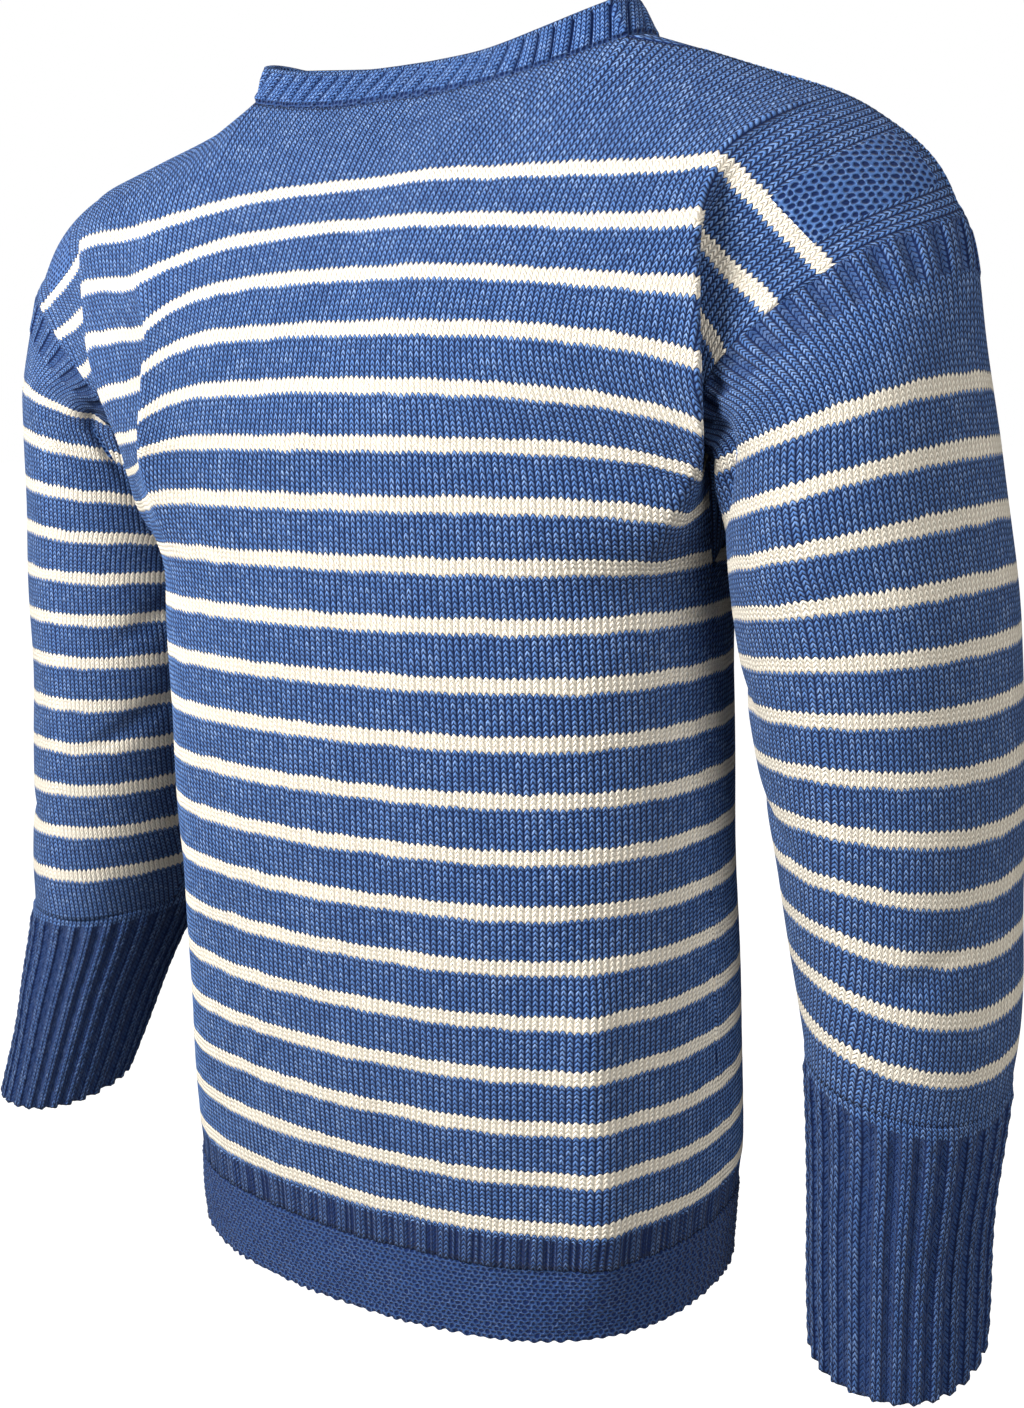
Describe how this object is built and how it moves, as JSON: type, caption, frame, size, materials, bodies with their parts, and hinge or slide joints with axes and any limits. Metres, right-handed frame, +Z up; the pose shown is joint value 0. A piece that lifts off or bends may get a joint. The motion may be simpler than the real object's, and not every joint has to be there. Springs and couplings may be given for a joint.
{
  "type": "striped fisherman sweater",
  "caption": "Hollow long-sleeved knitted wool jumper with cream stripes on blue, wide straight neck, gussets, garter welt and ribbed cuffs.",
  "frame": {"origin": "midpoint between the two neck ends of the shoulder line, where the wearer's shoulders carry the garment", "axes": "+X to the wearer's left, the front faces -Y, +Z up"},
  "size_m": [0.659, 0.2279, 0.6593],
  "materials": {
    "striped_wool": "matte worsted knit, blue with cream stripes",
    "rib_wool": "matte worsted rib and garter knit, plain blue"
  },
  "bodies": {
    "root": {"front_panel": "striped_wool", "back_panel": "striped_wool", "front_welt": "rib_wool", "back_welt": "rib_wool", "sleeve_left": "striped_wool", "sleeve_right": "striped_wool", "cuff_left": "rib_wool", "cuff_right": "rib_wool", "underarm_gusset_left": "striped_wool", "underarm_gusset_right": "striped_wool", "neck_gusset_left": "striped_wool", "neck_gusset_right": "striped_wool", "collar_band": "rib_wool"}
  },
  "joints": []
}
